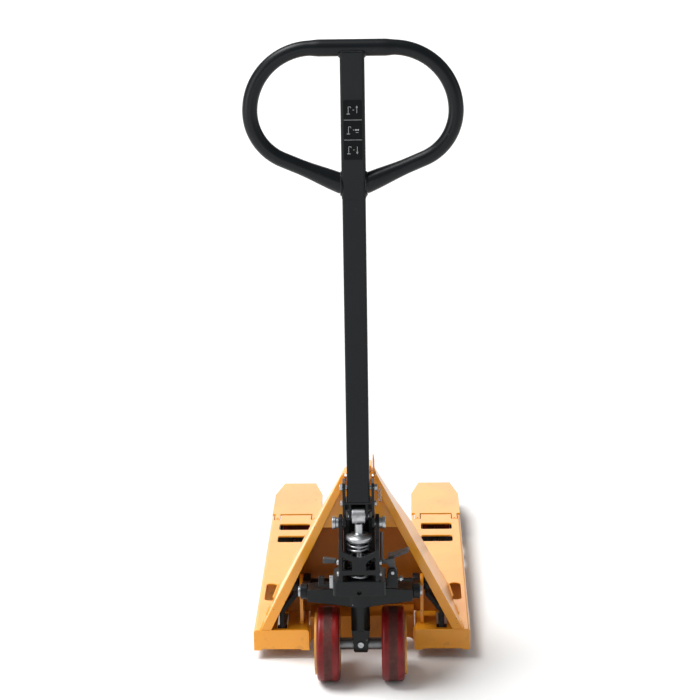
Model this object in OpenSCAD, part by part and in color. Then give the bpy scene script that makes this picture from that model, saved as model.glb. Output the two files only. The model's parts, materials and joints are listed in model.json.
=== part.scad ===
// Hand pallet truck: two forks on an A-shaped frame, a hydraulic pump unit
// that steers on two wheels, and a tilting drawbar with a D-shaped loop.
// +Y points to the fork tips, +X to the right of the operator, +Z up.
// The origin is on the floor, in the middle of the truck's plan outline.

/* [Forks] */
// Overall width across both forks
overall_w = 520; // [500:2:560]
// Width of one fork
fork_w = 134; // [130:1:144]
// Length from the heel face to the fork tip
fork_len = 1100; // [1060:10:1200]
// Height of the fork deck above the floor, lowered
deck_z = 75; // [74:0.5:78]
// Thickness of the fork plate
fork_t = 5; // [4:0.5:6]

/* [Frame] */
// Height of the top of the frame head
head_z = 505; // [500:1:515]
// Thickness of the frame plates
plate_t = 6; // [5:0.5:7]

/* [Steering] */
// Diameter of the steering wheels
wheel_d = 175; // [170:1:176]
// Width of a steering wheel tread
tread_w = 53; // [48:1:54]
// Distance between the centres of the two steering wheels
wheel_track = 151; // [148:1:154]
// Distance from the heel faces forward to the steering axis
steer_back = 112; // [112:1:120]

/* [Drawbar] */
// Height of the top of the drawbar loop
handle_z = 1504; // [1440:2:1520]
// Outer width of the loop
loop_w = 479; // [440:1:490]
// Diameter of the loop tube
tube_d = 33.4; // [28:0.2:34]
// Width of the drawbar shaft
shaft_w = 51; // [50:1:55]
// Depth of the drawbar shaft
shaft_d = 44; // [40:1:44]

/* [Lift] */
// Lifting stroke
lift_h = 115; // [100:5:115]
// Diameter of the load rollers
roller_d = 66; // [60:1:66]

/* [Hidden] */
$fn = 48;
eps = 0.01;
run_fit = 0.05;
weld_gap = 0.3;

paint = "orange";
black = [0.16, 0.17, 0.18];
steel = "silver";

// Plan positions
pump_front = 102;
heel_y = (steer_back + pump_front - fork_len) / 2;
axis_y = heel_y - steer_back;
tip_y = heel_y + fork_len;
fork_x = (overall_w - fork_w) / 2;
fork_in = overall_w / 2 - fork_w;

// Fork section and openings
heel_z = 22;
fork_r = 8;
seam_at = 826;
seam_gap = 9;
tab_w = 14;
tab_len = 44;
tab_x = 51;
slot_w = 83;
slot_len = 48;
slot_at = [604, 699];
chamfer_at = 990;
tip_end_w = 78;
window_x = [218, 245];
window_at = [190, 304];

// Frame lines, as x over height
lean = 55;
rail_top_z = 484;
rail_foot_x = 243;
rail_head_x = 41;
flange_foot_x = 217;
flange_head_x = 40;
flange_top_z = 462;
toe = 5.6;
rail_slope = (rail_foot_x - rail_head_x + lean * tan(toe)) / (rail_top_z - deck_z);
skin_x = plate_t * sqrt(1 + rail_slope * rail_slope);
lean_angle = atan(lean / (rail_top_z - deck_z));
back_at = 116;
head_r = 24;
head_floor = 434;
head_cup_r = 12.4;

// Rocker linkage, as distance behind the heel and height
rocker_at = 62;
rocker_z = 168;
eye_z = 221;
eye_at = -118;
arm_x = [122.5, 139];
eye_r = 18;
shaft_r = 14;
arm_len = sqrt(pow(rocker_at - eye_at, 2) + pow(eye_z - rocker_z, 2));
swing = 2 * asin(lift_h / 2 / arm_len);
crank_len = 122;
crank_x = [186, 198];
rod_at = rocker_at - crank_len * sin(swing / 2);
rod_z = rocker_z - crank_len * cos(swing / 2);

// Load roller frames
roller_r = roller_d / 2;
frame_at = 985;
frame_z = 52;
frame_len = 150;
roller_at = frame_at - sqrt(frame_len * frame_len - pow(frame_z - roller_r, 2));
yoke_at = 884;
yoke_z = 15.5;
frame_pin_r = 8;
roller_w = 74;

// Steering unit; a positions are measured from the steering axis
wheel_r = wheel_d / 2;
wheel_x = wheel_track / 2;
axle_r = 14;
beam_z = [203, 238];
beam_half = 122;
spindle_r = 22;
base_z = [246, 281];
piston_a = -64;
pivot_a = -41;
pivot_z = 402;
pivot_r = 10;
ear_x = [37.5, 46];
cage_a = -101;
ram_r = 18;
gland_z = 420;
cap_r = 30;

// Cam roller that presses the pump piston
cam_z = 427.5;
cam_r = 18;
cam_half = 15;
piston_top = cam_z - cam_r - 0.4;

// Return spring
spring_r = 25;
spring_wire = 2.6;
spring_z = [283.4, 363.6];
spring_turns = 6;
cap_z = [364, 385];

// Drawbar
shaft_a = -50;
yoke_x = [30, 36];
yoke_floor = 456;
shaft_z = [461.5, 1160];
head_w = 53;
bolt_z = 490;
tube_r = tube_d / 2;
grip_r = tube_r + 1.9;
bar_z = handle_z - grip_r;
head_top = bar_z - grip_r - weld_gap;
bend_r = 137;
low_r = 114;
arm_slope = 23;
loop_x = loop_w / 2 - tube_r;
bend_z = bar_z - bend_r;
lever_a = -18;
lever_z = 1392;
rod_a = -41;

// Release pedal
pedal_x = 76;
pedal_z = 284;
pedal_a = [-47.5, -38.5];
bar_a = [-35.5, -32.3];
lift_cyl_r = 31;

// Outer face of the right rail at a height and a distance behind the heel
function rail_x(z, at) = rail_foot_x - (z - deck_z) * rail_slope - at * tan(toe);

// The same face in the rail's own upright plane, which is turned in by the toe angle
function skin_at(z) = -(z - deck_z) * rail_slope * cos(toe);

function arc(cx, cy, r, a0, a1, n) =
  [for (i = [0 : n]) [cx + r * cos(a0 + (a1 - a0) * i / n), cy + r * sin(a0 + (a1 - a0) * i / n)]];

// Extrudes an x-z outline from y0 to y1
module along_y(y0, y1) {
  translate([0, y1, 0]) rotate([90, 0, 0]) linear_extrude(height = y1 - y0) children();
}

// Extrudes a y-z outline from x0 to x1
module along_x(x0, x1) {
  translate([x0, 0, 0]) rotate([90, 0, 90]) linear_extrude(height = x1 - x0) children();
}

// A round bar along X, at a given y and z
module bar_x(x0, x1, y, z, r) {
  translate([x0, y, z]) rotate([0, 90, 0]) cylinder(r = r, h = x1 - x0);
}

// A round bar along Y, at a given x and z
module bar_y(y0, y1, x, z, r) {
  translate([x, y0, z]) rotate([-90, 0, 0]) cylinder(r = r, h = y1 - y0);
}

module both_sides() {
  children();
  mirror([1, 0, 0]) children();
}

// Rectangle with four true round corners, in the plane
module round_rect(x0, y0, x1, y1, r) {
  translate([x0 + r, y0]) square([x1 - x0 - 2 * r, y1 - y0]);
  translate([x0, y0 + r]) square([x1 - x0, y1 - y0 - 2 * r]);
  for (x = [x0 + r, x1 - r], y = [y0 + r, y1 - r]) translate([x, y]) circle(r = r);
}

// Outline with square lower corners and round upper ones
module fork_outline(inset, r, floor_z) {
  x0 = fork_in + inset;
  x1 = overall_w / 2 - inset;
  top = deck_z - inset;
  translate([x0, floor_z]) square([x1 - x0, top - r - floor_z]);
  translate([x0 + r, floor_z]) square([x1 - x0 - 2 * r, top - floor_z]);
  for (x = [x0 + r, x1 - r]) translate([x, top - r]) circle(r = r);
}

// ---------------------------------------------------------------- chassis

// Right fork: a channel open below, closed by the heel face in front
module fork() {
  lip = 3;
  difference() {
    along_y(heel_y, heel_y + seam_at - seam_gap) fork_outline(0, fork_r, heel_z);
    along_y(heel_y + plate_t, tip_y) fork_outline(fork_t, fork_r - fork_t, 0);
    for (at = slot_at) translate([fork_x, heel_y + at, deck_z - 2 * fork_t])
      linear_extrude(height = 3 * fork_t) round_rect(-slot_w / 2, 0, slot_w / 2, slot_len, 8);
    translate([0, heel_y, deck_z - 2 * fork_t]) linear_extrude(height = 3 * fork_t)
      round_rect(window_x[0], window_at[0], window_x[1], window_at[1], 12);
    translate([crank_x[0] - 6, heel_y + 12, deck_z - 2 * fork_t]) cube([24, 104, 3 * fork_t]);
    for (s = [-1, 1]) translate([fork_x + s * tab_x - tab_w / 2 - 2,
      heel_y + seam_at - tab_len - 2, deck_z - 2 * fork_t]) cube([tab_w + 4, tab_len + 4, 3 * fork_t]);
    translate([fork_in + 20, heel_y - eps, heel_z - eps]) cube([fork_w - 40, plate_t + 1, lip]);
  }
}

// Plan outline of the fork tip, pulled in by a wall thickness
function tip_outline(inset) =
  let (w = fork_w / 2 - inset, e = tip_end_w / 2 - inset * 0.5, r = 14)
  concat(
    [[-w, seam_at], [w, seam_at], [w, chamfer_at]],
    arc(e - r * 0.4, fork_len - inset - r, r, 40, 90, 5),
    arc(-e + r * 0.4, fork_len - inset - r, r, 90, 140, 5),
    [[-w, chamfer_at]]);

// Right fork tip: nose pressing with two tabs let into the fork deck
module fork_tip() {
  nose_z = 50;
  belly_z = 30;
  difference() {
    intersection() {
      translate([fork_x, heel_y, 0]) linear_extrude(height = deck_z) polygon(tip_outline(0));
      along_x(0, overall_w) polygon([
        [heel_y + seam_at, belly_z], [heel_y + seam_at, deck_z], [tip_y - 10, deck_z],
        [tip_y, deck_z - 8], [tip_y, nose_z], [heel_y + chamfer_at, belly_z]]);
    }
    translate([fork_x, heel_y - eps, -1]) linear_extrude(height = deck_z - fork_t + 1)
      polygon(tip_outline(fork_t));
    bar_x(0, overall_w, heel_y + frame_at, frame_z, frame_pin_r + run_fit);
  }
  for (s = [-1, 1]) difference() {
    translate([fork_x + s * tab_x - tab_w / 2, heel_y + seam_at - tab_len, deck_z - fork_t])
      cube([tab_w, tab_len + 1, fork_t]);
    translate([fork_x + s * tab_x, heel_y + seam_at - tab_len + 8, 0]) cylinder(r = 2.5, h = 2 * deck_z);
  }
}

// Side view of a rail's outer skin, measured from the heel faces
module rail_profile() {
  translate([heel_y, 0]) polygon([
    [0, deck_z], [-lean, rail_top_z], [2, rail_top_z], [66, 400], [226, 262], [300, deck_z]]);
}

// Places an outline drawn in the plane across the right rail, from y0 to y1
module across_rail(y0, y1) {
  translate([rail_foot_x, heel_y, 0]) rotate([0, 0, toe]) along_y(y0, y1) children();
}

// Right rail of the A-frame: slanted skin with a flange along its front edge
module rail() {
  intersection() {
    across_rail(-120, 400) polygon([
      [0, deck_z], [skin_at(rail_top_z), rail_top_z],
      [skin_at(rail_top_z) - skin_x, rail_top_z], [-skin_x, deck_z]]);
    along_x(0, overall_w) rail_profile();
  }
  tall = (rail_top_z - deck_z) / cos(lean_angle);
  flange_tall = (flange_top_z - deck_z) / cos(lean_angle);
  difference() {
    translate([0, heel_y, deck_z]) rotate([lean_angle, 0, 0]) along_y(0, plate_t) polygon([
      [flange_foot_x, 0], [rail_foot_x - skin_x / 2, 0], [rail_head_x - skin_x / 2, tall],
      [rail_head_x - skin_x, tall], [flange_head_x - skin_x, flange_tall]]);
    translate([0, heel_y - 50, deck_z - 20]) cube([overall_w, 100, 20]);
  }
}

// Flat sheet that fills the gap between the rails
module frame_sheet(at, low, high) {
  gap = skin_x / cos(toe) + weld_gap;
  half = [for (z = [low, high]) rail_x(z, at + plate_t) - gap];
  along_y(heel_y + at, heel_y + at + plate_t)
    polygon([[-half[0], low], [half[0], low], [half[1], high], [-half[1], high]]);
}

// Cross plate between the rails, below the head
module head_gusset() {
  at = -28;
  low = 345;
  high = 470;
  color(paint) frame_sheet(at, low, high);
}

// Head of the frame, with the cup that takes the lifting ram
module frame_head() {
  body_w = 2 * (rail_x(rail_top_z, -8) - skin_x / cos(toe) - weld_gap);
  color(paint) difference() {
    union() {
      translate([0, axis_y, head_floor]) cylinder(r = head_r, h = head_z - head_floor);
      translate([-head_r, axis_y, head_floor]) cube([2 * head_r, steer_back - 52, head_z - head_floor]);
      translate([-body_w / 2, heel_y - 52, 472]) cube([body_w, 44, head_z - 472]);
    }
    translate([0, axis_y, head_floor - eps]) cylinder(r = head_cup_r, h = 9);
  }
}

// Upright hook on the head that parks the release chain
module parking_hook() {
  color(paint) along_y(heel_y - 56, heel_y - 52.3) polygon([
    [24.3, 486], [36, 486], [36, 520], [34, 534], [32, 534], [31.5, 520], [31.5, 491], [24.3, 491]]);
}

// Sheet that closes the frame behind the linkage
module back_plate() {
  high = 352;
  color(paint) frame_sheet(back_at, deck_z + weld_gap, high);
}

// Folded member that ties the two forks together behind the wheels
module cross_member() {
  front = heel_y + 40;
  low = 38;
  high = 93;
  half = fork_in - weld_gap;
  color(paint) union() {
    difference() {
      translate([-half, front, heel_z]) cube([2 * half, plate_t, high - heel_z]);
      translate([-half + 16, front - 1, -1]) cube([2 * half - 32, plate_t + 2, low + 1]);
      both_sides() bar_y(front - 1, front + plate_t + 1, half - 16, heel_z, low - heel_z);
    }
    translate([-half, front, high - plate_t]) cube([2 * half, back_at - 40 - weld_gap, plate_t]);
  }
}

// Plain label sheet on the outer skin of the left rail
module rail_label() {
  low = 128;
  high = 430;
  air = 0.02;
  skin = 0.9;
  color("khaki") mirror([1, 0, 0]) intersection() {
    across_rail(-100, 200) polygon([
      [skin_at(low) + skin, low], [skin_at(high) + skin, high],
      [skin_at(high) + air, high], [skin_at(low) + air, low]]);
    along_x(0, overall_w) translate([heel_y, 0]) polygon([[4, low], [-36, high], [-12, high], [150, low]]);
  }
}

// Upright plates on the fork decks that carry the rocker shaft
module rocker_bearings() {
  x = 141;
  ear_r = 24;
  color(paint) both_sides() along_x(x, x + 8) difference() {
    union() {
      translate([heel_y + rocker_at - ear_r, deck_z + weld_gap]) square([2 * ear_r, rocker_z - deck_z]);
      translate([heel_y + rocker_at, rocker_z]) circle(r = ear_r);
    }
    translate([heel_y + rocker_at, rocker_z]) circle(r = shaft_r + run_fit);
  }
}

// Cross pins in the fork tips on which the roller frames swing
module frame_pins() {
  color(steel) both_sides()
    bar_x(fork_in + 0.5, overall_w / 2 - 0.5, heel_y + frame_at, frame_z, frame_pin_r);
}

// -------------------------------------------------------------- crossbeam

// Beam under the pump: bearing ring in the middle and an arm to each side
module crossbeam() {
  color(black) difference() {
    union() {
      translate([0, axis_y, beam_z[0] - 10]) cylinder(r = 42, h = beam_z[1] - beam_z[0] + 10);
      along_y(axis_y - 34, axis_y + 16) polygon([
        [-beam_half, beam_z[0] + 3], [-30, beam_z[0] - 9], [30, beam_z[0] - 9], [beam_half, beam_z[0] + 3],
        [beam_half, beam_z[1] - 4], [70, beam_z[1]], [-70, beam_z[1]], [-beam_half, beam_z[1] - 4]]);
    }
    translate([0, axis_y, 0]) cylinder(r = spindle_r + run_fit, h = 2 * base_z[0]);
  }
}

// Ball race between the crossbeam and the pump base
module thrust_bearing() {
  color(steel) translate([0, axis_y, beam_z[1]]) difference() {
    cylinder(r = 40, h = base_z[0] - beam_z[1] - 0.4);
    translate([0, 0, -1]) cylinder(r = spindle_r + 0.6, h = 20);
  }
}

// ---------------------------------------------------------------- rockers

module rocker_shaft() {
  color(black) bar_x(-166, 166, heel_y + rocker_at, rocker_z, shaft_r);
}

// A lever outline between two round ends, in a y-z plane
module lever(p0, r0, p1, r1, waist) {
  d = p1 - p0;
  n = [-d[1], d[0]] / norm(d) * waist;
  translate(p0) circle(r = r0);
  translate(p1) circle(r = r1);
  polygon([p0 + n, p1 + n, p1 - n, p0 - n]);
}

// Front arms: their eyes stand against the ends of the crossbeam
module rocker_arms() {
  hub = [heel_y + rocker_at, rocker_z];
  eye = [heel_y + eye_at, eye_z];
  color(black) both_sides() along_x(arm_x[0], arm_x[1]) difference() {
    lever(hub, 26, eye, eye_r, 13);
    translate(hub) circle(r = shaft_r + 0.01);
    translate(eye) circle(r = 12);
  }
}

// Pins in the front eyes, with their bright end faces
module arm_pins() {
  color(steel) both_sides()
    bar_x(arm_x[0], 144, heel_y + eye_at, eye_z, 11.98);
}

// Rear cranks: they step outward from the shaft and reach down into the forks
module rocker_cranks() {
  hub = [heel_y + rocker_at, rocker_z];
  foot = [heel_y + rod_at, rod_z];
  color(black) both_sides() difference() {
    intersection() {
      along_x(150, 200) lever(hub, 24, foot, 13, 13);
      along_y(heel_y - 50, heel_y + 150) polygon([
        [153, 200], [166, 200], [166, 150], [198, 112], [198, 20], [186, 20], [186, 108], [153, 146]]);
    }
    bar_x(140, 210, hub[0], hub[1], shaft_r + 0.01);
    bar_x(140, 210, foot[0], foot[1], 7);
  }
}

// Pins that carry the push rods
module rod_pins() {
  color(steel) both_sides() bar_x(crank_x[0] - 10, crank_x[1] + 12, heel_y + rod_at, rod_z, 6.98);
}

// Right push rod: clevis on the crank, round rod, and a strap yoke at the roller
module push_rod() {
  rise = atan((rod_z - yoke_z) / (yoke_at - rod_at));
  start = [0, heel_y + rod_at, rod_z];
  reach = norm([yoke_at - rod_at, rod_z - yoke_z]);
  mid = (crank_x[0] + crank_x[1]) / 2;
  strap_x = 49;
  stub_x = 45.5;
  yoke_from = 738;
  color(black) translate(start) rotate([-rise, 0, 0]) translate([mid, 0, 0]) {
    for (s = [-1, 1]) along_x(s * 10.5 - 3, s * 10.5 + 3) difference() {
      union() {
        circle(r = 12);
        translate([0, -10]) square([44, 20]);
      }
      circle(r = 7 + run_fit);
    }
    translate([-13.5, 30, -10]) cube([27, 16, 20]);
    bar_y(44, yoke_from, 0, 0, 8);
    translate([fork_x - mid, 0, 0]) {
      translate([-strap_x - 5, yoke_from - 1, -9]) cube([2 * strap_x + 10, 8, 18]);
      both_sides() {
        along_x(strap_x, strap_x + 5) union() {
          translate([yoke_from, -9]) square([reach - yoke_from, 18]);
          translate([reach, 0]) circle(r = 9);
        }
        along_x(stub_x, strap_x + 1) translate([reach, 0]) circle(r = 6);
      }
    }
  }
}

// Right roller frame: two side plates with a tie bar
module roller_frame() {
  top = [heel_y + frame_at, frame_z];
  axle = [heel_y + roller_at, roller_r];
  yoke = [heel_y + yoke_at, yoke_z];
  color(black) translate([fork_x, 0, 0]) {
    for (s = [-1, 1]) along_x(s * 42 - 3, s * 42 + 3) difference() {
      union() {
        lever(top, 14, axle, 13, 10);
        lever(top + [-40, -6], 10, yoke, 10, 8);
        lever(yoke, 10, axle, 13, 8);
      }
      translate(top) circle(r = frame_pin_r + run_fit);
      translate(axle) circle(r = 8);
    }
    bar_x(-39.5, 39.5, top[0] - 40, top[1] - 6, 7);
  }
}

module roller_axle() {
  color(steel) bar_x(fork_x - 46, fork_x + 46, heel_y + roller_at, roller_r, 7.98);
}

// Right load roller with slightly rounded edges
module load_roller() {
  h = roller_w / 2;
  color("firebrick") translate([fork_x, heel_y + roller_at, roller_r]) rotate([0, 90, 0])
    rotate_extrude() difference() {
      round_rect(0, -h, roller_r, h, 3);
      square([2 * (8 + run_fit), 3 * roller_w], center = true);
    }
}

// ------------------------------------------------------------- pump unit

// Base casting, lifting cylinder and the small pump cylinder
module pump_body() {
  color(black) difference() {
    union() {
      translate([0, axis_y, base_z[0]]) linear_extrude(height = base_z[1] - base_z[0]) union() {
        round_rect(-60, -pump_front, 60, -8, 9);
        circle(r = 50);
      }
      translate([0, axis_y, base_z[1] - 1]) cylinder(r = lift_cyl_r, h = gland_z - base_z[1]);
      translate([0, axis_y, gland_z - 2]) cylinder(r = 27, h = 8);
      translate([-36, axis_y - 22, base_z[1] - 1]) cube([72, 52, 403 - base_z[1]]);
      translate([0, axis_y + piston_a, base_z[1] - 1]) cylinder(r = 17, h = 19);
      translate([-96, axis_y - 46, base_z[0] + 2]) cube([38, 14, 6]);
      translate([-95, axis_y - 46, base_z[0] + 2]) cube([14, 14, 22]);
    }
    translate([0, axis_y, 0]) cylinder(r = ram_r + run_fit, h = head_z);
    translate([0, axis_y + piston_a, base_z[0] + 4]) cylinder(r = 9.5 + run_fit, h = 100);
    bar_y(axis_y - pump_front - 1, axis_y - pump_front + 8, 0, 254, 5);
  }
}

// Cage around the return spring, rising to the ears of the drawbar pivot
module pump_cage() {
  front = axis_y + cage_a;
  pivot = [axis_y + pivot_a, pivot_z];
  foot_z = base_z[1] + 0.02;
  color(black) {
    both_sides() along_x(ear_x[0], ear_x[1]) difference() {
      union() {
        polygon([[front, foot_z], [front, 358], [axis_y - 70, 372], pivot + [-20, 0],
          pivot + [20, 0], [axis_y - 24, 350], [axis_y - 24, foot_z]]);
        translate(pivot) circle(r = 20);
      }
      translate(pivot) circle(r = pivot_r + 0.02);
      translate([axis_y + bar_a[0] - 1.5, 299]) square([bar_a[1] - bar_a[0] + 3, 34]);
      for (z = [291, 319]) translate([axis_y - 78, z]) circle(r = 3.05);
    }
    along_y(front, front + 5.5) {
      polygon([[-ear_x[1], 358], [-ear_x[1], 344], [-14, 327], [14, 327], [ear_x[1], 344],
        [ear_x[1], 358], [6, 339], [-6, 339]]);
      polygon([[-16, 300], [16, 300], [16, 334], [-16, 334]]);
      polygon([[-ear_x[1], 296.5], [ear_x[1], 296.5], [ear_x[1], 308.5], [-ear_x[1], 308.5]]);
    }
  }
}

// Steering strut: hollow spindle in the crossbeam, tapering to the axle block below
module steer_strut() {
  foot_half = 17;
  neck_z = 128;
  color(black) difference() {
    union() {
      translate([0, axis_y, neck_z - 2]) cylinder(r = spindle_r, h = base_z[0] - neck_z + 1.98);
      intersection() {
        along_x(-30, 30) union() {
          translate([axis_y, wheel_r]) circle(r = 21);
          translate([axis_y - 21, wheel_r]) square([42, neck_z - wheel_r]);
        }
        along_y(axis_y - 40, axis_y + 40) polygon([
          [-foot_half + 8, 66], [foot_half - 8, 66], [foot_half - 2, 70], [foot_half, 76], [foot_half, 92],
          [spindle_r - 0.5, neck_z], [-spindle_r + 0.5, neck_z], [-foot_half, 92], [-foot_half, 76],
          [-foot_half + 2, 70]]);
      }
    }
    translate([0, axis_y, 190]) cylinder(r = ram_r + run_fit, h = 100);
    bar_x(-40, 40, axis_y, wheel_r, axle_r + 0.02);
    bar_y(axis_y - 22, axis_y - 14.8, 0, 93, 4.02);
  }
}

module wheel_axle() {
  color(steel) bar_x(-106, 106, axis_y, wheel_r, axle_r);
}

// Slotted screw that locks the axle in the strut
module strut_screw() {
  color(steel) difference() {
    union() {
      bar_y(axis_y - 25, axis_y - 21.02, 0, 93, 7);
      bar_y(axis_y - 21.1, axis_y - 15, 0, 93, 4);
    }
    translate([0, axis_y - 25, 93]) rotate([0, 35, 0]) cube([20, 2.4, 2], center = true);
  }
}

// Cage screws, the adjusting screw and the pedal's hinge pin
module pump_bolts() {
  color(steel) {
    both_sides() for (z = [291, 319]) {
      translate([ear_x[1] + 0.02, axis_y - 78, z]) rotate([0, 90, 0]) cylinder(r = 6.5, h = 5, $fn = 6);
      bar_x(ear_x[0], ear_x[1] + 1, axis_y - 78, z, 3);
    }
    bar_x(88.1, 100, axis_y - 33, 262, 3.5);
    translate([92, axis_y - 33, 262]) rotate([0, 90, 0]) cylinder(r = 7, h = 5, $fn = 6);
    bar_y(axis_y - 56, axis_y - 29, pedal_x, pedal_z, 4);
  }
}

// Two stub pins on which the drawbar tilts, with round heads
module pivot_pins() {
  color(steel) both_sides() {
    bar_x(29.4, 55, axis_y + pivot_a, pivot_z, pivot_r);
    bar_x(46.02, 53, axis_y + pivot_a, pivot_z, 12.5);
    bar_x(53, 61, axis_y + pivot_a, pivot_z, 14.5);
  }
}

// U-shaped bracket for the release pedal
module release_bracket() {
  color(black) difference() {
    union() {
      translate([60.02, axis_y - 54, 247]) cube([28, 24, 6]);
      for (a = [-54, -36]) along_y(axis_y + a, axis_y + a + 6) union() {
        polygon([[62, 250], [88, 250], [88, 276], [pedal_x + 10, pedal_z],
          [pedal_x - 10, pedal_z], [63, 276]]);
        translate([pedal_x, pedal_z]) circle(r = 10);
      }
    }
    bar_y(axis_y - 60, axis_y - 20, pedal_x, pedal_z, 4.02);
  }
}

// Bright stud plate on the left of the base
module side_stud() {
  color(steel) along_x(-69, -60.02) union() {
    translate([axis_y - 62, 253]) square([10, 22]);
    for (z = [253, 275]) translate([axis_y - 57, z]) circle(r = 5);
  }
}

// Lifting ram with the round nose that sits in the head's cup
module ram() {
  color(steel) translate([0, axis_y, 0]) {
    translate([0, 0, 195]) cylinder(r = ram_r, h = head_floor - 1 - 195);
    translate([0, 0, head_floor - 2]) cylinder(r = head_cup_r - 0.4, h = 10);
  }
}

// ------------------------------------------------------------ steering wheels

// Tread ring of the right wheel, with rounded shoulders
module tyre() {
  h = tread_w / 2;
  color("firebrick") translate([wheel_x, axis_y, wheel_r]) rotate([0, 90, 0]) rotate_extrude($fn = 96)
    difference() {
      round_rect(50, -h, wheel_r, h, 9);
      translate([0, -2 * tread_w]) square([64, 4 * tread_w]);
    }
}

// Wheel centre of the right wheel: rim, web and hub
module rim() {
  h = tread_w / 2;
  color("gold") translate([wheel_x, axis_y, wheel_r]) rotate([0, 90, 0]) rotate_extrude($fn = 96) {
    translate([57, -h]) square([6.95, 2 * h + 1]);
    translate([57, h + 0.05]) square([15, 5]);
    translate([26, -6]) square([32, 12]);
    translate([24.05, -h]) square([8, 2 * h]);
  }
}

// Ball bearings in the two ends of the right hub
module wheel_bearings() {
  h = tread_w / 2;
  color(steel) translate([wheel_x, axis_y, wheel_r]) rotate([0, 90, 0])
    for (z = [-h, h - 12]) translate([0, 0, z]) difference() {
      cylinder(r = 24, h = 12);
      translate([0, 0, -1]) cylinder(r = axle_r + run_fit, h = 14);
    }
}

// ---------------------------------------------------------------- drawbar

// Rectangular shaft tube and the wider head tube above it
module handle_shaft() {
  wall = 4;
  cope_drop = 8;
  y = axis_y + shaft_a;
  color(black) difference() {
    union() {
      translate([0, y, shaft_z[0]]) linear_extrude(height = shaft_z[1] - shaft_z[0])
        round_rect(-shaft_w / 2, -shaft_d / 2, shaft_w / 2, shaft_d / 2, 5);
      translate([0, y, shaft_z[1] - 1]) linear_extrude(height = bar_z - cope_drop - shaft_z[1] + 1)
        round_rect(-head_w / 2, -shaft_d / 2 - 1, head_w / 2, shaft_d / 2, 6);
      for (s = [-1, 1]) along_x(s * 16 - 2, s * 16 + 2) union() {
        translate([y + shaft_d / 2 - 3, lever_z - 9]) square([15, 18]);
        translate([axis_y + lever_a, lever_z]) circle(r = 9);
      }
    }
    translate([-shaft_w / 2 + wall, y - shaft_d / 2 + wall, 0])
      cube([shaft_w - 2 * wall, shaft_d - 2 * wall, head_top - 8]);
    bar_x(-60, 60, y, bar_z, grip_r + weld_gap);
    translate([-60, y, head_top]) cube([120, 60, 40]);
    bar_x(-60, 60, y, bolt_z, 5.02);
    bar_x(-60, 60, axis_y + lever_a, lever_z, 3.02);
    translate([-6, y + 10, lever_z - 24]) cube([12, 20, 40]);
  }
}

// D-shaped loop: grip bar, two upper bends, two lower bends, two arms
module handle_loop() {
  top_x = loop_x - bend_r;
  low_x = loop_x - low_r;
  end = [low_x + low_r * sin(arm_slope), bend_z - low_r * cos(arm_slope)];
  reach = end[0] / cos(arm_slope);
  flare = 95;
  arm_end_r = tube_r + 5.5;
  lap = 0.4;
  color(black) translate([0, axis_y + shaft_a, 0]) difference() {
    union() {
      bar_x(-top_x, top_x, 0, bar_z, grip_r);
      both_sides() {
        translate([top_x, 0, bend_z]) rotate([90, 0, 0])
          rotate([0, 0, -0.5]) rotate_extrude(angle = 90.5) translate([bend_r, 0]) circle(r = tube_r);
        translate([low_x, 0, bend_z]) rotate([90, 0, 0])
          rotate([0, 0, arm_slope - 90]) rotate_extrude(angle = 90 - arm_slope)
            translate([low_r, 0]) circle(r = tube_r + lap);
        translate([end[0], 0, end[1]]) rotate([0, 180 + 90 - arm_slope, 0]) {
          translate([0, 0, -1]) cylinder(r = tube_r + 2 * lap, h = reach - flare + 1);
          translate([0, 0, reach - flare]) cylinder(r1 = tube_r + 2 * lap, r2 = arm_end_r, h = flare);
        }
      }
    }
    translate([-head_w / 2 - weld_gap, -60, 900]) cube([head_w + 2 * weld_gap, 120, bend_z - 900]);
  }
}

// U-shaped bracket between the shaft and the pivot pins
module handle_yoke() {
  pivot = [axis_y + pivot_a, pivot_z];
  back = axis_y + shaft_a + shaft_d / 2;
  front = axis_y + shaft_a - shaft_d / 2;
  cam = [axis_y + piston_a, cam_z];
  color(black) difference() {
    union() {
      both_sides() {
        along_x(yoke_x[0], yoke_x[1]) {
          translate(pivot) circle(r = 17);
          polygon([pivot + [-16, 0], pivot + [13, 0], [back - 1, 438], [back - 1, 505],
            [front + 6, 505], [front, 498], [front, 440]]);
        }
        along_x(16.5, 22) {
          translate(cam) circle(r = 11);
          polygon([cam + [-11, 0], cam + [11, 0],
            [cam[0] + 16, yoke_floor + 1], [front + 1, yoke_floor + 1]]);
        }
      }
      translate([-yoke_x[0] - 1, front, yoke_floor]) cube([2 * yoke_x[0] + 2, shaft_d, 5]);
      translate([-yoke_x[0] - 1, back - 5, 430]) cube([2 * yoke_x[0] + 2, 5, yoke_floor - 429]);
    }
    bar_x(-60, 60, pivot[0], pivot[1], pivot_r + run_fit);
    bar_x(-60, 60, cam[0], cam[1], 5.02);
    bar_x(-60, 60, axis_y + shaft_a, bolt_z, 5.02);
    both_sides() bar_x(29, 60, axis_y - 44, 450, 4.02);
  }
}

// Cross bolt, its spacers and nuts, the two lower screws and the lever pin
module handle_bolts() {
  y = axis_y + shaft_a;
  color(steel) {
    bar_x(-40, 40, y, bolt_z, 5);
    both_sides() {
      translate([yoke_x[1] + 0.02, y, bolt_z]) rotate([0, 90, 0]) cylinder(r = 8, h = 7, $fn = 6);
      bar_x(30.2, yoke_x[1] + 1, axis_y - 44, 450, 4);
      translate([yoke_x[1] + 0.02, axis_y - 44, 450]) rotate([0, 90, 0]) cylinder(r = 7, h = 5, $fn = 6);
    }
    bar_x(-18, 18, axis_y + lever_a, lever_z, 3);
  }
}

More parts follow.
